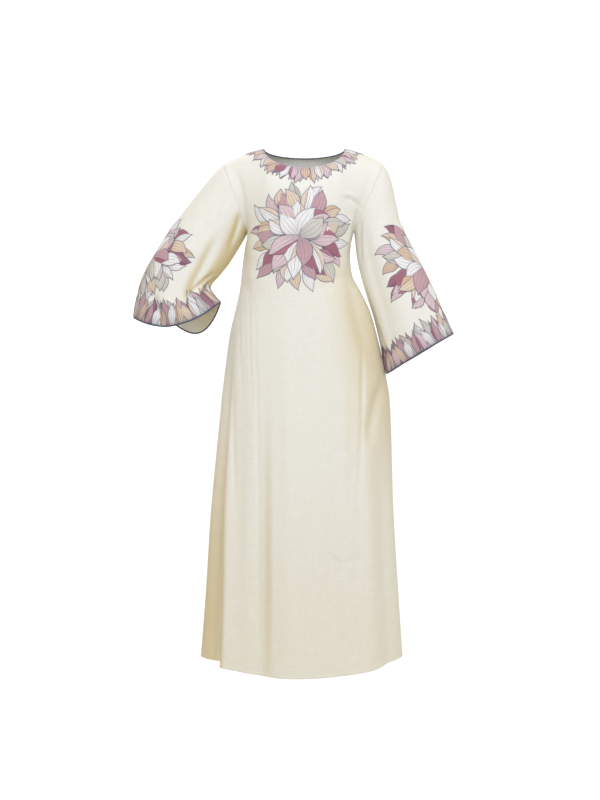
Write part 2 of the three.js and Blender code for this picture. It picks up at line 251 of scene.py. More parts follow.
def sleeve_points(rings, along, angle):
    """Points of a sleeve. along is 0 at the armhole and 1 at the cuff; angle is 0 at the outer
    point, a quarter turn at the front and a half turn at the inner point."""
    row = through(rings, np.linspace(0, 1, len(rings)), along)
    out_x, out_z, in_x, in_z, front, back, forward, sag_front, sag_back, swing = np.moveaxis(row, -1, 0)
    across, share = np.sin(angle), (1 + np.cos(angle)) / 2
    depth = np.where(across > 0, -front, -back)
    sag = np.where(across > 0, sag_front, sag_back * (1 - swing * np.cos(angle)))
    return np.stack([
        mix(in_x, out_x, share),
        depth * across - forward,
        mix(in_z, out_z, share) - sag * across**2,
    ], -1)


def fold_depth(degrees, down):
    """How far the hanging folds move the cloth out."""
    total = 0
    for at_top, at_hem, width, depth, begins, full in FOLDS:
        away = (degrees - mix(at_top, at_hem, down) + 540) % 360 - 180
        total = total + depth * np.exp(-((away / width) ** 2)) * smooth(begins, full, down)
    return total


def body_points(side, u, down):
    """Points of the body below the armpits. u runs from the right side seam to the left one."""
    level = mix(ARMPIT, HEM, down)
    _, right, left, front, back = np.moveaxis(through(SECTIONS, SECTIONS[:, 0], level), -1, 0)
    cosine, sine = np.cos(np.pi * u), np.sin(np.pi * u)
    rounded = lambda value: np.sign(value) * np.abs(value) ** (2 / SECTION_POWER)
    depth = front if side == FRONT else back
    fold = fold_depth(180 - side * 180 * u, down)
    on_seam = np.minimum(1, 6 * np.minimum(u, 1 - u))
    return np.stack([
        (left + right) / 2 - rounded(cosine) * (left - right) / 2 - fold * cosine,
        side * (rounded(sine) * depth + fold * sine * on_seam),
        level - HEM_DROP[side] * sine**2 * down**2,
    ], -1)


def top_points(side, u):
    """Points of the top edge: shoulder seam, neck edge, shoulder seam."""
    tip = np.where(u < 0.5, RIGHT_SLEEVE[0, 0], LEFT_SLEEVE[0, 0])
    tip_z = np.where(u < 0.5, RIGHT_SLEEVE[0, 1], LEFT_SLEEVE[0, 1])
    share = np.clip(np.minimum(u, 1 - u) / SHOULDER_SHARE, 0, 1)
    on_shoulder = share < 1
    angle = np.pi * np.clip((u - SHOULDER_SHARE) / (1 - 2 * SHOULDER_SHARE), 0, 1)
    neck_x, neck_sine = -NECK_HALF * np.cos(angle), np.sin(angle)
    hump = SHOULDER_HUMP * np.sin(np.pi * share)
    return np.stack([
        np.where(on_shoulder, mix(tip, np.sign(tip) * NECK_HALF, share), neck_x),
        np.where(on_shoulder, 0, side * NECK_DEPTH[side] * neck_sine),
        np.where(on_shoulder, mix(tip_z, 0, share) + hump, -NECK_DROP[side] * neck_sine),
    ], -1)


def chest_points(side, u, up):
    """Points of the chest or upper back. up runs from the armpits to the top edge."""
    low, high = body_points(side, u, np.zeros_like(u)), top_points(side, u)
    middle = np.array(0.5)
    centre_low = body_points(side, middle, np.array(0.0))[1]
    centre_high = top_points(side, middle)[1]
    turn = side * np.pi * (up - 1)
    right = sleeve_points(RIGHT_SLEEVE, np.zeros_like(up), turn)
    left = sleeve_points(LEFT_SLEEVE, np.zeros_like(up), turn)
    hole_y = np.where(u < 0.5, right[..., 1], left[..., 1])
    level = np.sin(up * np.pi / 2) ** (2 / CHEST_POWER)
    bulge = np.clip(np.cos(up * np.pi / 2), 0, 1) ** (2 / CHEST_POWER)
    inside = smooth(0, 0.3, np.minimum(u, 1 - u))
    rise = mix((1 - np.cos(np.pi * up)) / 2, level, inside)
    centre = mix(centre_high, centre_low, bulge)
    shape = mix(high[..., 1] / centre_high, low[..., 1] / centre_low, bulge)
    return np.stack([
        mix(low[..., 0], high[..., 0], mix(rise, rise**1.6, inside)),
        mix(hole_y, centre, shape),
        mix(low[..., 2], high[..., 2], rise),
    ], -1)


def relax(grid, first):
    """Evens out the cloth between its edges, from the row first to just below the top edge."""
    for _ in range(RELAX_PASSES):
        around = (grid[first:-1, :-2] + grid[first:-1, 2:]
                  + grid[first - 1:-2, 1:-1] + grid[first + 1:, 1:-1]) / 4
        grid[first:-1, 1:-1] = mix(grid[first:-1, 1:-1], around, 0.5)


def normals_of(grid, closed, outward):
    """Outward unit normals of a grid of points."""
    if closed:
        across = np.roll(grid, -1, 1) - np.roll(grid, 1, 1)
    else:
        across = np.gradient(grid, axis=1)
    normal = np.cross(across, np.gradient(grid, axis=0)) * outward
    return normal / np.maximum(np.linalg.norm(normal, axis=-1, keepdims=True), 1e-9)


def arc(grid, axis):
    """Length run along the grid's rows or columns."""
    steps = np.linalg.norm(np.diff(grid, axis=axis), axis=-1)
    pad = np.zeros_like(np.take(steps, [0], axis=axis))
    return np.concatenate([pad, np.cumsum(steps, axis=axis)], axis=axis)


def crease(across, along, ends, width, depth, bow):
    """One soft trough or ridge between two places, in the same units as across and along."""
    x0, z0, x1, z1 = ends
    run = np.array([x1 - x0, z1 - z0], float)
    length = np.linalg.norm(run)
    run /= length
    share = ((across - x0) * run[0] + (along - z0) * run[1]) / length
    off = (across - x0) * run[1] - (along - z0) * run[0]
    off = off - bow * np.sin(np.pi * np.clip(share, 0, 1))
    fade = smooth(-0.12, 0.25, share) * (1 - smooth(0.7, 1.12, share))
    return depth * np.exp(-((off / width) ** 2)) * fade


def panel_form(side):
    """The grid of a panel's outer face, hem first."""
    u = np.linspace(0, 1, PANEL_COLUMNS + 1)
    heights = np.concatenate([
        HEM_ROWS, np.linspace(ABOVE_HEM_ROWS, ARMPIT - HEM, BODY_ROWS - len(HEM_ROWS) + 1)])[:-1]
    down = 1 - heights / (ARMPIT - HEM)
    up = np.linspace(0, 1, CHEST_ROWS + 1)
    body = body_points(side, *np.broadcast_arrays(u[None, :], down[:, None]))
    chest = chest_points(side, *np.broadcast_arrays(u[None, :], up[:, None]))
    grid = np.concatenate([body, chest])
    relax(grid, BODY_ROWS - BODY_ROWS // 10)
    normals = normals_of(grid, False, -side)
    edge = np.minimum(u, 1 - u)[None, :]
    quiet = smooth(0, 0.06, edge) * np.ones(len(grid))[:, None]
    quiet[-1] = 0
    move = np.zeros(grid.shape[:2])
    for where, x0, z0, x1, z1, width, depth, bow in PANEL_CREASES:
        if where == side:
            move += crease(grid[..., 0], grid[..., 2], (x0, z0, x1, z1), width, depth, bow)
    height = np.concatenate([heights, np.full(CHEST_ROWS + 1, 1e3)])[:, None]
    pucker = np.sin(u * 2 * np.pi * HEM_PUCKERS + 1.3 * np.sin(u * 40))[None, :]
    hem = HEM_TURN_PROUD * (1 - smooth(HEM_TURN - 1.2, HEM_TURN + 1.2, height))
    on_line = np.exp(-(((height - HEM_TURN) / STITCH_DIP_WIDTH) ** 2))
    hem = hem + (PUCKER_DEPTH * pucker - STITCH_DIP) * on_line
    return grid + normals * (move * quiet + hem * smooth(0, 0.02, edge))[..., None]


def sleeve_form(rings, creases):
    """The grid of a sleeve's outer face, armhole first."""
    along = np.linspace(0, 1, SLEEVE_ROWS + 1)
    angle = np.linspace(0, 2 * np.pi, SLEEVE_COLUMNS + 1)[:-1]
    a, b = np.broadcast_arrays(along[:, None], angle[None, :])
    grid = sleeve_points(rings, a, b)
    outward = np.sign(rings[0, 0])
    normals = normals_of(grid, True, outward)
    move = np.zeros(grid.shape[:2])
    for along0, degrees0, along1, degrees1, width, depth in creases:
        ends = (
            degrees0 / 360 * SLEEVE_GIRTH, along0 * SLEEVE_LENGTH,
            degrees1 / 360 * SLEEVE_GIRTH, along1 * SLEEVE_LENGTH)
        for turn in (-SLEEVE_GIRTH, 0, SLEEVE_GIRTH):
            round_it = b / (2 * np.pi) * SLEEVE_GIRTH + turn
            move += crease(round_it, a * SLEEVE_LENGTH, ends, width, depth, SLEEVE_CREASE_BOW)
    quiet = smooth(0, 0.04, a)
    return grid + normals * (move * quiet)[..., None]


# ------------------------------------------------------------------ meshes
def finish_mesh(bm, name, materials):
    """A smooth-shaded object from a bmesh, at the origin."""
    mesh = bpy.data.meshes.new(name)
    bm.to_mesh(mesh)
    bm.free()
    mesh.polygons.foreach_set("use_smooth", [True] * len(mesh.polygons))
    for material in materials:
        mesh.materials.append(material)
    piece = bpy.data.objects.new(name, mesh)
    bpy.context.collection.objects.link(piece)
    return piece


def thicken(piece, thickness):
    """Gives a sheet its thickness, inwards."""
    shell = piece.modifiers.new("thickness", "SOLIDIFY")
    shell.thickness, shell.offset = thickness * MM, -1
    return piece


def grid_bmesh(grid, across, along, closed, flip):
    """A bmesh grid laid on rows of points in millimetres, with a UV map in metres of cloth."""
    rows, columns = grid.shape[:2]
    if closed:
        grid = np.concatenate([grid, grid[:, :1]], 1)
        columns += 1
    bm = bmesh.new()
    made = bmesh.ops.create_grid(bm, x_segments=columns - 1, y_segments=rows - 1, size=1)
    bm.verts.ensure_lookup_table()
    uv = bm.loops.layers.uv.new("cloth")
    place = {}
    for vertex in made["verts"]:
        k = round((vertex.co.x + 1) / 2 * (columns - 1))
        row = round((vertex.co.y + 1) / 2 * (rows - 1))
        place[vertex] = (row, k)
        vertex.co = Vector(grid[row, k]) * MM
    for face in bm.faces:
        for loop in face.loops:
            row, k = place[loop.vert]
            loop[uv].uv = (across[row, k] * MM, along[row, k] * MM)
    if flip:
        bmesh.ops.reverse_faces(bm, faces=bm.faces)
    if closed:
        bmesh.ops.remove_doubles(bm, verts=bm.verts, dist=1e-6)
    return bm


def body_painted_shade(place, facing):
    """How much painted shade the panels get: on the right side towards the hem and behind its deep
    fold, a painted shadow of the left sleeve on the left side round the hip, and a little painted shade on
    all of the lower skirt. Heights are metres."""
    level, right, left = place[:, 2], -facing[:, 0], facing[:, 0]
    # painted shade on the right side, where the panel turns from the light, and behind the deep fold
    behind_fold = mix(-0.184, -0.21, (level + 0.7) / -0.55) - place[:, 0]
    right = np.maximum(smooth(0.1, 0.95, right), smooth(-0.004, 0.01, behind_fold))
    right *= smooth(-0.42, -1.2, level) * (0.85 - 0.6 * smooth(-0.01, 0.12, place[:, 1]))
    # painted shadow of the left sleeve round the left hip
    left = smooth(0.05, 0.75, left) * smooth(-0.18, -0.45, level)
    left *= 0.72 - 0.57 * smooth(-0.5, -0.9, level)
    # painted shade, a little darker towards the hem
    skirt = 0.2 * smooth(-0.7, -1.25, level)
    return np.maximum.reduce([right, left, skirt])


def sleeve_painted_shade(inner, start, full):
    """How much painted shade a sleeve gets as it turns down or to the body, away from the light. inner is the
    side that the body is on, start and full the turn at which the painted shade begins and is whole."""
    def share(place, facing):
        # painted shade where the sleeve faces down or towards the body
        to_body, down = np.maximum(facing[:, 0] * inner, 0), np.maximum(-facing[:, 2], 0)
        return smooth(start, full, np.hypot(to_body, down))
    return share


def cloth_piece(name, grid, uv, painted_shade, closed=False, flip=False):
    """A thin cloth shell with its outer face on the grid."""
    piece = finish_mesh(grid_bmesh(grid, *uv, closed, flip), name, [linen])
    place = np.array([vertex.co for vertex in piece.data.vertices])
    facing = np.array([vertex.normal for vertex in piece.data.vertices])
    # painted shade: each point's share of the yellow shade tint, read by the linen
    sideways = piece.data.attributes.new("sideways", "FLOAT", "POINT")
    sideways.data.foreach_set("value", painted_shade(place, facing).astype(np.float32))
    return thicken(piece, CLOTH_THICK)


# ------------------------------------------------------------------ materials
class Signal:
    """A socket's value. Its operators add Math nodes."""

    def __init__(self, maker, socket):
        self.maker, self.socket = maker, socket

    def math(self, operation, *values):
        return self.maker.node("ShaderNodeMath", {"operation": operation}, dict(enumerate(values)))

    def __add__(self, other):
        return self.math("ADD", self, other)

    def __sub__(self, other):
        return self.math("SUBTRACT", self, other)

    def __rsub__(self, other):
        return self.math("SUBTRACT", other, self)

    def __mul__(self, other):
        return self.math("MULTIPLY", self, other)

    def __abs__(self):
        return self.math("ABSOLUTE", self)

    __radd__, __rmul__ = __add__, __mul__

    def sine(self):
        return self.math("SINE", self)

    def wrap(self, period):
        return self.math("FLOORED_MODULO", self, period)

    def ramp(self, low, high, to_low=0.0, to_high=1.0):
        """From to_low at low to to_high at high, easing, and level beyond."""
        return self.maker.node(
            "ShaderNodeMapRange", {"interpolation_type": "SMOOTHSTEP"},
            {"Value": self, "From Min": low, "From Max": high, "To Min": to_low, "To Max": to_high})


class Maker:
    """Builds a node tree."""

    def __init__(self, tree):
        self.tree = tree
        tree.nodes.clear()

    def node(self, kind, settings=None, inputs=None, output=0):
        made = self.tree.nodes.new(kind)
        for key, value in (settings or {}).items():
            setattr(made, key, value)
        for key, value in (inputs or {}).items():
            if isinstance(value, Signal):
                self.tree.links.new(value.socket, made.inputs[key])
            else:
                made.inputs[key].default_value = value
        return Signal(self, made.outputs[output]) if made.outputs else None

    def attribute(self, name, output="Fac"):
        return self.node("ShaderNodeAttribute", {"attribute_name": name}, output=output)

    def blend(self, share, first, second, how="MIX"):
        """Colours first and second mixed by share."""
        made = self.tree.nodes.new("ShaderNodeMix")
        made.data_type, made.blend_type = "RGBA", how
        for socket, value in ((made.inputs[0], share), (made.inputs[6], first), (made.inputs[7], second)):
            if isinstance(value, Signal):
                self.tree.links.new(value.socket, socket)
            else:
                socket.default_value = value
        return Signal(self, made.outputs[2])

    def noise(self, vector, scale, detail=2.0, stretch=(1, 1, 1)):
        placed = self.node("ShaderNodeMapping", {}, {"Vector": vector, "Scale": stretch})
        return self.node("ShaderNodeTexNoise", {}, {"Vector": placed, "Scale": scale, "Detail": detail})

    def bump(self, height, distance, strength=1.0):
        return self.node("ShaderNodeBump", {}, {"Height": height, "Distance": distance, "Strength": strength})

    def surface(self, **inputs):
        names = {key.replace("_", " "): value for key, value in inputs.items()}
        shader = self.node("ShaderNodeBsdfPrincipled", {}, names)
        self.node("ShaderNodeOutputMaterial", {}, {"Surface": shader})


def shade(red, green, blue):
    """A colour given as it looks on screen, 0 to 255, in Blender's linear values."""
    line = lambda v: v / 12.92 if v <= 0.04045 else ((v + 0.055) / 1.055) ** 2.4
    return (line(red / 255), line(green / 255), line(blue / 255), 1)


SLATE = shade(112, 112, 132)
# painted shade: the yellow that the linen's colour is multiplied by where the cloth turns from the light
PAINTED_SHADE_TINT = shade(235, 220, 180)
SMOKE = shade(158, 148, 164)

# petal dyes: main colour, colour of the turned edge, share of a flower's petals, and of an edge's
IN_FLOWER, ON_EDGE = 2, 3
DYES = {
    "white": (shade(247, 247, 248), shade(232, 213, 198), 12, 5),
    "blush": (shade(231, 209, 213), shade(184, 124, 138), 6, 5),
    "dusty_pink": (shade(207, 170, 177), shade(168, 108, 122), 3, 5),
    "dark_rose": (shade(172, 112, 126), shade(150, 94, 109), 3, 4),
    "peach": (shade(234, 214, 191), shade(220, 189, 162), 4, 4),
    "tan": (shade(224, 198, 173), shade(203, 169, 143), 1.5, 3),
    "greige": (shade(218, 214, 206), shade(199, 194, 186), 4, 4),
}


def paint_shade_on_cloth(make, colour):
    """Painted shade: multiplies the colour by the yellow shade tint by the mesh's sideways share, where the
    cloth turns from the light.
    """
    return make.blend(make.attribute("sideways"), colour, PAINTED_SHADE_TINT, "MULTIPLY")


def weave(make, uv, threads=1250.0):
    """Height of a plain weave with slubs, from a UV map in metres."""
    across = make.node("ShaderNodeSeparateXYZ", {}, {"Vector": uv}, output=0)
    along = make.node("ShaderNodeSeparateXYZ", {}, {"Vector": uv}, output=1)
    step = 2 * math.pi * threads / 2
    over = (across * step).sine() * (along * step).sine()
    slub = make.noise(uv, 1.0, 3.0, (1100, 26, 1)) + make.noise(uv, 1.0, 3.0, (26, 1100, 1))
    return over * 0.35 + slub * 0.65


def cloth_material():
    material = bpy.data.materials.new("ivory_linen")
    material.use_nodes = True
    make = Maker(material.node_tree)
    uv = make.node("ShaderNodeUVMap", {"uv_map": "cloth"})
    height = weave(make, uv)
    slub = make.noise(uv, 1.0, 4.0, (620, 22, 1)) * 0.45 + make.noise(uv, 1.0, 4.0, (26, 620, 1)) * 0.55
    cloudy = make.noise(uv, 7.0, 3.0)
    colour = make.blend(slub.ramp(0.34, 0.66), shade(240, 237, 227), shade(247, 246, 240))
    colour = make.blend(cloudy.ramp(0.35, 0.75, 0.0, 0.3), colour, shade(244, 241, 231))
    # painted yellow shade on the sides, undersides and lower skirt
    colour = paint_shade_on_cloth(make, colour)
    make.surface(
        Base_Color=colour, Roughness=0.86, Sheen_Weight=0.12, Sheen_Roughness=0.5,
        Specular_IOR_Level=0.25,
        Normal=make.bump(height, 0.00022, 0.5))
    return material


def petal_material(name, main, turned):
    """Dyed cloth with a stitched slate outline. The petal's attributes give the places:
    rim is the distance in from the edge in mm, side runs -1 to 1 across, run is mm from the root,
    reach is 0 to 1 from the root, wide is the half width in mm and turn is the turned side."""
    material = bpy.data.materials.new("petal_" + name)
    material.use_nodes = True
    make = Maker(material.node_tree)
    uv = make.node("ShaderNodeUVMap", {"uv_map": "cloth"})
    rim, side, run, reach, wide, turn = (
        make.attribute(key) for key in ("rim", "side", "run", "reach", "wide", "turn"))
    mottle = make.noise(uv, 90.0, 4.0)
    colour = make.blend(mottle.ramp(0.3, 0.75, 0.0, 0.16), main, turned)
    colour = make.blend(reach.ramp(0.0, 0.6, 0.34, 0.0), colour, SMOKE)
    colour = make.blend(rim.ramp(1.0, 6.5, 0.3, 0.0), colour, SMOKE)
    crescent = side * turn - (0.78 - 0.5 * (reach * math.pi).sine())
    turned_over = (crescent * wide).ramp(-0.4, 0.4) * abs(turn)
    colour = make.blend(turned_over, colour, turned)
    vein_gap = abs(abs(side) - 0.46) * wide
    dashes = run.wrap(4.1).ramp(3.0, 3.4, 1.0, 0.0)
    vein = vein_gap.ramp(0.3, 0.75, 1.0, 0.0) * dashes
    vein = vein * reach.ramp(0.06, 0.16) * reach.ramp(0.7, 0.84, 1.0, 0.0)
    middle = (abs(side) * wide).ramp(0.3, 0.75, 1.0, 0.0) * reach.ramp(0.66, 0.9, 1.0, 0.0)
    crease = abs(crescent * wide).ramp(0.35, 0.85, 1.0, 0.0) * abs(turn)
    colour = make.blend(vein * 0.72, colour, SLATE)
    colour = make.blend(middle * 0.66, colour, SLATE)
    colour = make.blend(crease * 0.85, colour, SLATE)
    outline = rim.ramp(1.0, 1.55, 1.0, 0.0)
    twist = (run * 4.2).sine().ramp(-1.0, 1.0, 0.82, 1.0)
    colour = make.blend(outline * twist, colour, SLATE)
    height = weave(make, uv) * 0.25 + outline * 0.9 + vein * -0.3
    make.surface(
        Base_Color=colour, Roughness=0.8, Sheen_Weight=0.1, Sheen_Roughness=0.5,
        Specular_IOR_Level=0.25,
        Normal=make.bump(height, 0.0003, 0.6))
    return material


def binding_material():
    material = bpy.data.materials.new("slate_blue_binding")
    material.use_nodes = True
    make = Maker(material.node_tree)
    uv = make.node("ShaderNodeUVMap", {"uv_map": "cloth"})
    slub = make.noise(uv, 1.0, 3.0, (300, 1800, 1))
    colour = make.blend(slub.ramp(0.3, 0.7), shade(70, 77, 104), shade(98, 106, 136))
    make.surface(
        Base_Color=colour, Roughness=0.62, Sheen_Weight=0.15, Specular_IOR_Level=0.35,
        Normal=make.bump(weave(make, uv, 1800.0), 0.0002, 0.6))
    return material


def thread_material():
    material = bpy.data.materials.new("ivory_thread")
    material.use_nodes = True
    make = Maker(material.node_tree)
    place = make.node("ShaderNodeTexCoord", {}, {}, output="Object")
    twist = make.noise(place, 2600.0, 2.0)
    colour = make.blend(twist.ramp(0.35, 0.65), shade(214, 208, 190), shade(238, 234, 220))
    make.surface(
        Base_Color=colour, Roughness=0.55, Sheen_Weight=0.1, Normal=make.bump(twist, 0.0001, 0.5))
    return material


def floor_material():
    material = bpy.data.materials.new("pale_floor")
    material.use_nodes = True
    make = Maker(material.node_tree)
    place = make.node("ShaderNodeTexCoord", {}, {}, output="Object")
    worn = make.noise(place, 3.0, 3.0)
    colour = make.blend(worn.ramp(0.3, 0.7), (0.85, 0.845, 0.835, 1), (0.865, 0.86, 0.85, 1))
    make.surface(
        Base_Color=colour, Roughness=0.27, Metallic=1.0)
    return material


linen = cloth_material()
bound = binding_material()
thread = thread_material()
petal_materials = [petal_material(name, main, turned) for name, (main, turned, *_) in DYES.items()]


# ------------------------------------------------------------------ the cloth
def surface_tree(grids):
    """A tree for the nearest place on one or more grids, in metres, with normals outwards."""
    points, faces, start = [], [], 0
    for grid, closed, flip in grids:
        rows, columns = grid.shape[:2]
        points.extend((grid.reshape(-1, 3) * MM).tolist())
        index = start + np.arange(rows * columns).reshape(rows, columns)
        after = np.roll(index, -1, 1) if closed else index[:, 1:]
        here = index if closed else index[:, :-1]
        around = [here[:-1], after[:-1], after[1:], here[1:]]
        faces.extend(np.stack(around[::-1] if flip else around, -1).reshape(-1, 4).tolist())
        start += rows * columns
    return BVHTree.FromPolygons(points, faces)


def panel_uv(grid):
    across, along = arc(grid, 1), arc(grid, 0)
    return across - across[:, [across.shape[1] // 2]], along


def sleeve_uv(grid):
    round_it = np.concatenate([grid, grid[:, :1]], 1)
    return arc(round_it, 1), arc(round_it, 0)


def ease_armhole(sleeve, column):
    """Eases the cloth across the seam between a sleeve and the panels, whose edge is that column."""
    step = 1 if column == 0 else -1
    up = np.linspace(0, 1, CHEST_ROWS + 1)
    share = (smooth(0, 0.16, up) * 0.4)[:, None]
    on_front = np.arange(CHEST_ROWS, -1, -1)
    on_back = np.arange(CHEST_ROWS, SLEEVE_COLUMNS + 1) % SLEEVE_COLUMNS
    for _ in range(ARMHOLE_PASSES):
        for grid, ring in ((front_grid, on_front), (back_grid, on_back)):
            chest = grid[BODY_ROWS:]
            seam, body, arm = chest[:, column], chest[:, column + step], sleeve[1, ring]
            near = np.linalg.norm(body - seam, axis=1)[:, None]
            far = np.linalg.norm(arm - seam, axis=1)[:, None]
            chest[:, column] = mix(seam, (body * far + arm * near) / (near + far), share)
            sleeve[0, ring] = chest[:, column]
            for k in range(1, ARMHOLE_REACH):
                here = column + step * k
                chest[:, here] = mix(
                    chest[:, here], (chest[:, here - step] + chest[:, here + step]) / 2,
                    share * (1 - k / ARMHOLE_REACH))
        for k in range(1, ARMHOLE_REACH):
            sleeve[k] = mix(sleeve[k], (sleeve[k - 1] + sleeve[k + 1]) / 2, 0.4 * (1 - k / ARMHOLE_REACH))
    front_grid[BODY_ROWS:, column] = sleeve[0, on_front]
    back_grid[BODY_ROWS:, column] = sleeve[0, on_back]


front_grid, back_grid = panel_form(FRONT), panel_form(BACK)
left_grid = sleeve_form(LEFT_SLEEVE, SLEEVE_CREASES["left"])
right_grid = sleeve_form(RIGHT_SLEEVE, SLEEVE_CREASES["right"])
ease_armhole(left_grid, -1)
ease_armhole(right_grid, 0)
front_normals, back_normals = normals_of(front_grid, False, 1), normals_of(back_grid, False, -1)

# the last argument gives each piece its painted shade
front = cloth_piece("front_cloth", front_grid, panel_uv(front_grid), body_painted_shade)
back = cloth_piece("back_cloth", back_grid, panel_uv(back_grid), body_painted_shade, flip=True)
left_sleeve = cloth_piece(
    "left_sleeve_cloth", left_grid, sleeve_uv(left_grid), sleeve_painted_shade(-1, 0.9, 1.3), closed=True)
right_sleeve = cloth_piece(
    "right_sleeve_cloth", right_grid, sleeve_uv(right_grid), sleeve_painted_shade(1, 0.15, 0.8),
    closed=True, flip=True)

body_tree = surface_tree([(front_grid, False, False), (back_grid, False, True)])
left_tree = surface_tree([(left_grid, True, False)])
right_tree = surface_tree([(right_grid, True, True)])


# ------------------------------------------------------------------ petals
PETAL_THICK = 0.3
PETAL_LIFT = 0.45
LAYER_STEP = 0.42
EDGE_TO_PETALS = 3.4
TURNED_SIDES = [0, 0, 0, 1, -1]  # of five petals, three lie flat and one turns over on each side


def half_width(reach, width, root, widest):
    """Half the width of a petal at a share of its length: a narrow root and a pointed tip."""
    before = np.clip(reach / widest, 0, 1)
    after = np.clip((reach - widest) / (1 - widest), 0, 1)
    wide = mix(root, 1, np.sin(before * np.pi / 2) ** 1.1) * (1 - after**1.9) ** 1.4
    return np.maximum(wide * width / 2, 0.15)


def stride(tree, point, heading, distance):
    """Goes along the cloth. Gives the new point, the cloth's normal and the heading there."""
    place, normal, _, _ = tree.find_nearest(point + heading * distance)
    heading = heading - normal * heading.dot(normal)
    return place, normal, heading.normalized()


class Petal:
    """One petal laid on the cloth, with the numbers that its material reads. bend curls it from
    the root and flick at the tip, in degrees. base is the root's width as a share of the widest,
    and widest the share of the length where that is."""

    def __init__(self, tree, root, heading, length, width, bend, flick, base, widest, layer,
                 turn, dye, puff=0.35, rows=12, columns=8):
        self.dye, self.turn = list(DYES).index(dye), turn
        point, normal, _, _ = tree.find_nearest(root)
        heading = (heading - normal * heading.dot(normal)).normalized()
        reach = np.linspace(0, 1, rows + 1) ** 0.92
        side = np.linspace(-1, 1, columns + 1)
        wide = half_width(reach, width, base, widest)
        grid = np.zeros((rows + 1, columns + 1, 3))
        half = columns // 2
        for i in range(rows + 1):
            if i:
                gain = reach[i] - reach[i - 1]
                swing = bend * (1 - reach[i]) * 1.6 + flick * reach[i] ** 2 * 2.4
                heading = heading + normal.cross(heading) * (math.radians(swing) * gain)
                point, normal, heading = stride(tree, point, heading.normalized(), gain * length * MM)
            grid[i, half] = point
            for way in (-1, 1):
                spot, facing = point, normal.cross(heading).normalized() * way
                for j in range(1, half + 1):
                    spot, _, facing = stride(tree, spot, facing, wide[i] / half * MM)
                    grid[i, half + way * j] = spot
        lift = normals_of(grid, False, -1)
        lift[-1] = lift[-2]
        side, reach, wide = side[None, :], reach[:, None], wide[:, None]
        dome = (1 - side**2) * np.sin(np.pi * np.clip(reach, 0.02, 0.98))
        height = PETAL_LIFT + LAYER_STEP * layer + puff * dome
        self.grid = grid + lift * height[..., None] * MM
        slope = np.gradient(wide[:, 0], reach[:, 0] * length)[:, None]
        numbers = {
            "rim": (1 - np.abs(side)) * wide / np.sqrt(1 + slope**2),
            "side": side, "run": reach * length, "reach": reach, "wide": wide,
            "turn": np.array([[float(turn)]]),
        }
        self.numbers = {key: np.broadcast_to(value, dome.shape) for key, value in numbers.items()}


def petal_piece(name, petals):
    """One object of many petals."""
    bm = bmesh.new()
    uv = bm.loops.layers.uv.new("cloth")
    layers = {key: bm.verts.layers.float.new(key) for key in petals[0].numbers}
    for petal in petals:
        rows, columns = petal.grid.shape[0] - 1, petal.grid.shape[1] - 1
        made = bmesh.ops.create_grid(bm, x_segments=columns, y_segments=rows, size=1)["verts"]
        place = {}
        for vertex in made:
            k = round((vertex.co.x + 1) / 2 * columns)
            row = round((vertex.co.y + 1) / 2 * rows)
            number = {key: float(value[row, k]) for key, value in petal.numbers.items()}
            place[vertex] = (number["side"] * number["wide"] * MM, number["run"] * MM)
            vertex.co = Vector(petal.grid[row, k])
            for key, layer in layers.items():
                vertex[layer] = number[key]
        faces = list({face for vertex in made for face in vertex.link_faces})
        for face in faces:
            face.material_index = petal.dye
            for loop in face.loops:
                loop[uv].uv = place[loop.vert]
        bmesh.ops.reverse_faces(bm, faces=faces)
    return thicken(finish_mesh(bm, name, petal_materials), PETAL_THICK)


def pick_dye(chance, other_than, column):
    """A dye by its share in that column of the dyes."""
    names = [name for name in DYES if name != other_than]
    return chance.choices(names, [DYES[name][column] for name in names])[0]


# rings of the flower, outermost first: petals, root radius, length, width
FLOWER_RINGS = [(20, 70, 64, 29), (16, 50, 68, 34), (11, 24, 74, 38), (7, 1, 78, 42)]


def flower(name, tree, centre, up, size, seed):
    """A many-petalled flower laid on the cloth round its centre."""
    chance = random.Random(seed)
    middle, normal, _, _ = tree.find_nearest(centre)
    up = (up - normal * up.dot(normal)).normalized()
    petals, last = [], None
    for ring, (count, root, length, width) in enumerate(FLOWER_RINGS):
        start = chance.uniform(0, 2 * math.pi)
        for k in range(count):
            angle = start + (k + chance.uniform(-0.22, 0.22)) * 2 * math.pi / count
            heading = up * math.cos(angle) + normal.cross(up) * math.sin(angle)
            point, facing = middle, normal
            for _ in range(4):
                point, facing, heading = stride(tree, point, heading, root * size / 4 * MM)
            heading = heading + facing.cross(heading) * math.radians(chance.uniform(-14, 14))
            in_middle = ring == len(FLOWER_RINGS) - 1    # where no petal is dark
            last = pick_dye(chance, "dark_rose" if in_middle else last, IN_FLOWER)
            petals.append(Petal(
                tree, point, heading, length * size * chance.uniform(0.82, 1.14),
                width * size * chance.uniform(0.82, 1.16), bend=chance.uniform(-48, 48),
                flick=chance.uniform(-55, 55), base=0.22, widest=chance.uniform(0.42, 0.56),
                layer=ring + (k % 2) * 0.45, turn=chance.choice(TURNED_SIDES), dye=last))
    return petal_piece(name, petals)


def even(path, count, shift=0.0):
    """Evenly spaced points on a closed path, with the path's direction at each."""
    loop = np.concatenate([path, path[:1]])
    run = np.concatenate([[0], np.cumsum(np.linalg.norm(np.diff(loop, axis=0), axis=1))])
    at = (np.arange(count) + shift) / count % 1 * run[-1]
    take = lambda where: np.stack([np.interp(where % run[-1], run, loop[:, i]) for i in range(3)], -1)
    points, ahead = take(at), take(at + run[-1] / count * 0.2) - take(at - run[-1] / count * 0.2)
    return [Vector(p) for p in points], [Vector(d).normalized() for d in ahead]


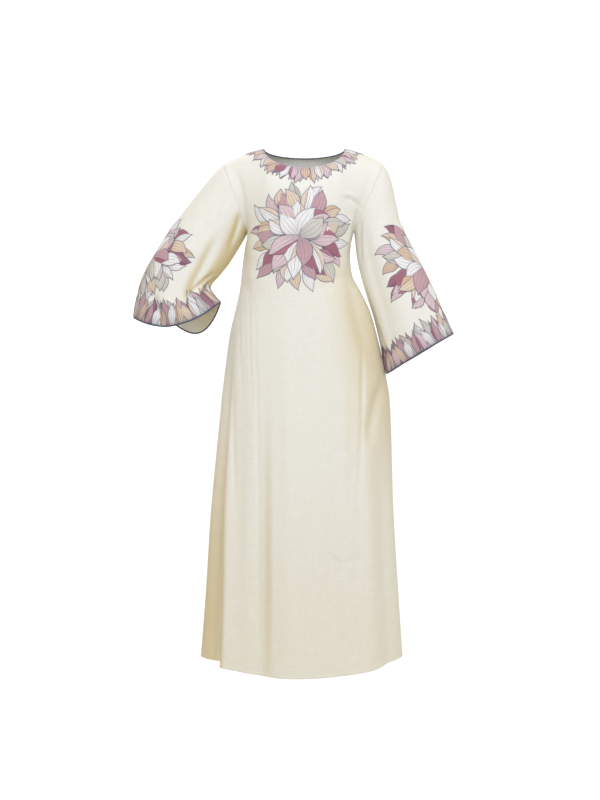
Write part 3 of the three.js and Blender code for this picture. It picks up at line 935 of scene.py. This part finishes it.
def petal_ring(name, tree, path, inward, rings, seed, longer=lambda point: 1):
    """Rows of petals standing on an edge. inward gives roughly which way the cloth lies from it,
    and longer how much the petals grow at a point of the edge."""
    chance = random.Random(seed)
    petals, last = [], None
    for layer, (count, shift, length, width, widest, puff) in enumerate(rings):
        for point, ahead in zip(*even(path, count, shift)):
            _, normal, _, _ = tree.find_nearest(point)
            heading = normal.cross(ahead).normalized()
            if heading.dot(inward(point)) < 0:
                heading = -heading
            heading = heading + ahead * math.radians(chance.uniform(-7, 7))
            last = pick_dye(chance, last, ON_EDGE)
            petals.append(Petal(
                tree, point + heading.normalized() * EDGE_TO_PETALS * MM, heading,
                length * longer(point) * chance.uniform(0.9, 1.1), width * chance.uniform(0.92, 1.1),
                bend=chance.uniform(-16, 16), flick=chance.uniform(-22, 22), base=0.62,
                widest=widest, layer=layer, turn=chance.choice(TURNED_SIDES), dye=last,
                puff=puff, rows=9, columns=6))
    return petal_piece(name, petals)


# rows of petals, lowest layer first: count, shift, length, width, widest at, puff
NECK_ROWS = [
    (44, 0.25, 40, 16, 0.5, 0.2),
    (22, 0.5, 44, 24, 0.5, 0.3),
    (22, 0.0, 36, 25, 0.54, 0.4),
]
CUFF_ROWS = [
    (27, 0.25, 60, 16, 0.45, 0.2),
    (27, 0.5, 68, 20, 0.46, 0.3),
    (27, 0.0, 50, 22, 0.46, 0.4),
]

half_u = np.linspace(SHOULDER_SHARE, 1 - SHOULDER_SHARE, 121)
neck_path = np.concatenate([
    top_points(FRONT, half_u)[:-1], top_points(BACK, half_u)[:0:-1]]) * MM
left_cuff_path, right_cuff_path = left_grid[-1] * MM, right_grid[-1] * MM
neck_middle = Vector(neck_path.mean(0)) + Vector((0, 0, 0.06))


def toward(grid):
    """Which way a sleeve lies from its cuff."""
    way = Vector(grid[-12].mean(0) - grid[-1].mean(0))
    return lambda point: way


def sleeve_spot(rings, along, degrees):
    return Vector(sleeve_points(rings, np.array(along), np.array(math.radians(degrees)))) * MM


CHEST_SPOT = Vector((-0.013, -0.14, -0.2235))    # metres
chest_flower = flower("chest_flower", body_tree, CHEST_SPOT, Vector((0, 0, 1)), 1.05, 5)
left_flower = flower(
    "left_sleeve_flower", left_tree, sleeve_spot(LEFT_SLEEVE, 0.655, 14), Vector((-0.5, 0, 1)), 1.04, 8)
right_flower = flower(
    "right_sleeve_flower", right_tree, sleeve_spot(RIGHT_SLEEVE, 0.6, 14), Vector((0.6, 0, 1)), 0.9, 3)
neck_petals = petal_ring(
    "neck_petals", body_tree, neck_path, lambda point: point - neck_middle, NECK_ROWS, 21,
    lambda point: 1 + 0.22 * min(1, abs(point.y) / (NECK_DEPTH[BACK] * MM)))
left_cuff_petals = petal_ring(
    "left_cuff_petals", left_tree, left_cuff_path, toward(left_grid), CUFF_ROWS, 22)
right_cuff_petals = petal_ring(
    "right_cuff_petals", right_tree, right_cuff_path, toward(right_grid), CUFF_ROWS, 23)


# ------------------------------------------------------------------ bindings
BINDING_WIDTH = 4
BINDING_HALF_THICK = 1.05
BINDING_OVERHANG = 0.4           # past the cloth's edge
BINDING_SECTIONS, BINDING_SIDES = 240, 14


def binding(name, tree, path, inward):
    """A bound edge: a flat oval section swept round the edge of the cloth."""
    turn = np.linspace(0, 2 * np.pi, BINDING_SIDES + 1)[:-1]
    sections = []
    for point, ahead in zip(*even(path, BINDING_SECTIONS)):
        _, normal, _, _ = tree.find_nearest(point)
        down = normal.cross(ahead).normalized()
        if down.dot(inward(point)) < 0:
            down = -down
        centre = point / MM + down * (BINDING_WIDTH / 2 - BINDING_OVERHANG) - normal * (CLOTH_THICK / 2)
        sections.append([
            centre + down * (BINDING_WIDTH / 2 * math.cos(t)) + normal * (BINDING_HALF_THICK * math.sin(t))
            for t in turn])
    grid = np.array(sections)
    grid = np.concatenate([grid, grid[:1]])
    around = np.concatenate([grid, grid[:, :1]], 1)
    bm = grid_bmesh(grid, arc(around, 1), arc(around, 0), True, False)
    bmesh.ops.recalc_face_normals(bm, faces=bm.faces)
    return finish_mesh(bm, name, [bound])


neck_binding = binding("neck_binding_strip", body_tree, neck_path, lambda point: point - neck_middle)
left_cuff_binding = binding("left_cuff_binding_strip", left_tree, left_cuff_path, toward(left_grid))
right_cuff_binding = binding("right_cuff_binding_strip", right_tree, right_cuff_path, toward(right_grid))


# ------------------------------------------------------------------ stitches
STITCH_PITCH = 3.6
STITCH_LENGTH, STITCH_WIDTH, STITCH_HEIGHT = 2.6, 0.56, 0.48


def hem_stitches(name, grid, normals):
    """A line of running stitches along the hem's turned edge."""
    line, facing = grid[HEM_LINE_ROW], normals[HEM_LINE_ROW]
    run = arc(line, 0)
    at = np.arange(STITCH_PITCH, run[-1] - STITCH_PITCH / 2, STITCH_PITCH)
    take = lambda values, where: np.stack([np.interp(where, run, values[:, i]) for i in range(3)], -1)
    bm = bmesh.new()
    ahead_of = take(line, at + 1) - take(line, at - 1)
    for point, ahead, normal in zip(take(line, at), ahead_of, take(facing, at)):
        ahead, normal = Vector(ahead).normalized(), Vector(normal).normalized()
        turn = Matrix((ahead, normal.cross(ahead), normal)).transposed().to_4x4()
        stitch = Matrix.Translation((Vector(point) + normal * 0.05) * MM) @ turn
        stitch = stitch @ Matrix.Diagonal((
            STITCH_LENGTH / 2 * MM, STITCH_WIDTH / 2 * MM, STITCH_HEIGHT / 2 * MM, 1))
        bmesh.ops.create_icosphere(bm, subdivisions=1, radius=1, matrix=stitch)
    return finish_mesh(bm, name, [thread])


front_stitches = hem_stitches("front_hem_stitches", front_grid, front_normals)
back_stitches = hem_stitches("back_hem_stitches", back_grid, back_normals)


# ------------------------------------------------------------------ the solids that the cloth stands for are hidden, and all pieces hang on the body
for piece, node, trims, flat, area in (
    (front, "front", [chest_flower, neck_petals, neck_binding, front_stitches], FRONT_CUT, FRONT_AREA),
    (back, "back", [neck_petals, neck_binding, back_stitches], BACK_CUT, BACK_AREA),
    (left_sleeve, "sleeve_left", [left_flower, left_cuff_petals, left_cuff_binding],
     LEFT_CUT, LEFT_AREA),
    (right_sleeve, "sleeve_right", [right_flower, right_cuff_petals, right_cuff_binding],
     RIGHT_CUT, RIGHT_AREA),
):
    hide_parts(node)
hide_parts("neck_binding")
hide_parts("cuff_binding_left")
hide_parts("cuff_binding_right")
for piece in [x for x in bpy.data.objects if x.type == "MESH" and x.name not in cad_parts]:
    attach(piece, BODY)


# ------------------------------------------------------------------ floor, lights, camera
bm = bmesh.new()
bmesh.ops.create_grid(bm, x_segments=1, y_segments=1, size=40)
bmesh.ops.translate(bm, verts=bm.verts, vec=(0, 3, FLOOR))
floor = finish_mesh(bm, "floor", [floor_material()])


def softbox(name, place, aim, size, power, colour):
    light = bpy.data.lights.new(name, "AREA")
    light.shape, light.size, light.size_y = "RECTANGLE", size[0], size[1]
    light.energy, light.color = power, colour
    stand = bpy.data.objects.new(name, light)
    bpy.context.collection.objects.link(stand)
    stand.location = place
    stand.rotation_euler = (Vector(aim) - Vector(place)).to_track_quat("-Z", "Y").to_euler()


softbox("key", (0.3, -2.2, 1.5), (0, 0, -0.25), (1.1, 1.1), 33, (0.66, 0.76, 1.0))
softbox("back_key", (-0.9, 2.2, 1.5), (0, 0, -0.3), (1.3, 1.3), 40, (0.66, 0.76, 1.0))

world = bpy.data.worlds.new("studio")
bpy.context.scene.world = world
world.use_nodes = True
make = Maker(world.node_tree)
ray = make.node("ShaderNodeTexCoord", {}, {}, output="Generated")
across = make.node("ShaderNodeSeparateXYZ", {}, {"Vector": ray}, output=0)
ahead = abs(make.node("ShaderNodeSeparateXYZ", {}, {"Vector": ray}, output=1))
wall = make.blend(across.ramp(-0.75, 0.75), (0.70, 0.65, 0.52, 1), (0.78, 0.73, 0.61, 1))
tent = make.blend(ahead.ramp(0.84, 0.95), wall, (1.3, 1.3, 1.3, 1))
glow = make.node("ShaderNodeBackground", {}, {"Color": tent, "Strength": 1.0})
make.node("ShaderNodeOutputWorld", {}, {"Surface": glow})

view = bpy.context.scene.view_settings
view.view_transform, view.look, view.exposure, view.gamma = "Standard", "None", 0.0, 1.0

camera = bpy.data.cameras.new("camera")
camera.lens, camera.sensor_width, camera.sensor_fit = 81, 36, "AUTO"
viewer = bpy.data.objects.new("camera", camera)
bpy.context.collection.objects.link(viewer)
viewer.location = (-0.011, -4.5, -0.4925)
viewer.rotation_euler = (math.radians(90 - 1.69), 0, 0)
bpy.context.scene.camera = viewer
